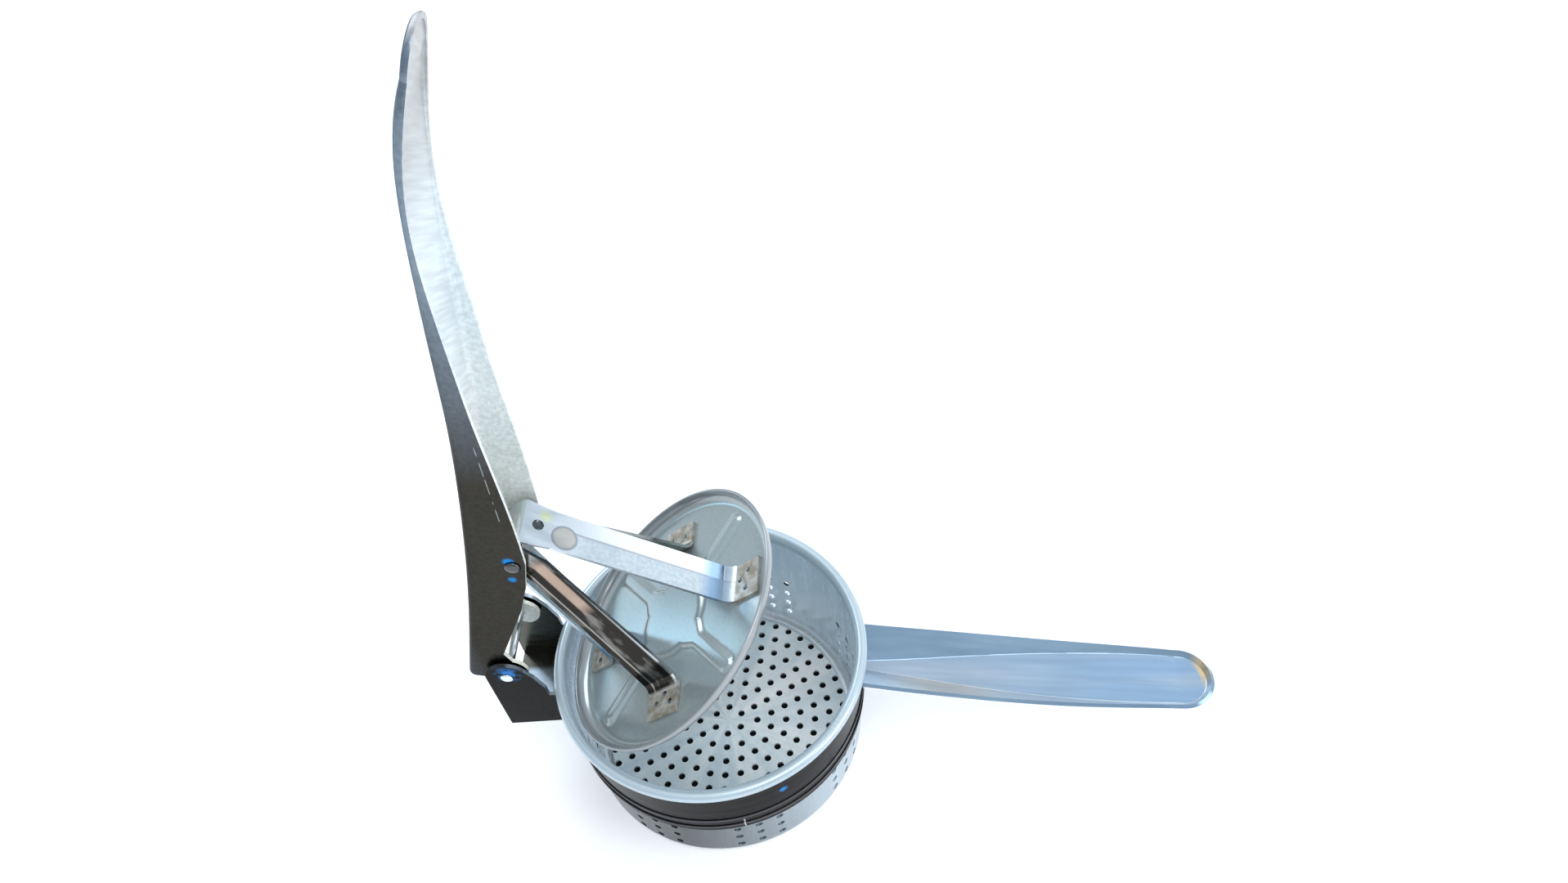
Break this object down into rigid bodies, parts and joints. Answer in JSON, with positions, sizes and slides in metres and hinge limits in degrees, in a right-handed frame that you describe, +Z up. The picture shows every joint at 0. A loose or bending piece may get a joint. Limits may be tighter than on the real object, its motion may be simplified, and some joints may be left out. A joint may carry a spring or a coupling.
{
  "type": "lever dough press",
  "caption": "Lever press with a perforated cup, a trough handle and a hinged channel lever that swings a dished plunger into the cup.",
  "frame": {"origin": "centre of the cup's underside, on the surface it stands on", "axes": "+X along the lower handle, away from the hinge; +Y parallel to the hinge axis; +Z up along the cup's axis"},
  "size_m": [0.2328, 0.099, 0.2665],
  "materials": {
    "cup_steel": "satin",
    "band_steel": "polished",
    "arm_steel": "satin",
    "pin_steel": "polished",
    "plate_steel": "satin",
    "strap_steel": "satin"
  },
  "bodies": {
    "cup_frame": {"press_cup": "cup_steel", "ring_band": "band_steel", "lower_handle": "arm_steel", "hinge_bracket": "arm_steel", "hinge_pin": "pin_steel", "hinge_washer": "pin_steel"},
    "lever": {"press_lever": "arm_steel", "pivot_pin": "pin_steel"},
    "plunger": {"plunger_dish": "plate_steel", "cross_strap": "strap_steel", "long_strap": "strap_steel"}
  },
  "joints": [
    {"name": "lever_swing", "type": "hinge", "parent": "cup_frame", "child": "lever", "pos_m": [-0.0604, 0, 0.0583], "axis": [0, 1, 0], "range_deg": [0, 69.7]},
    {"name": "plunger_tilt", "type": "hinge", "parent": "lever", "child": "plunger", "pos_m": [-0.0437, 0, 0.1145], "axis": [0, 1, 0], "range_deg": [-31.8, 0]}
  ],
  "couplings": [
    {"joint": "plunger_tilt", "follows": "lever_swing", "ratio": -0.4551}
  ]
}
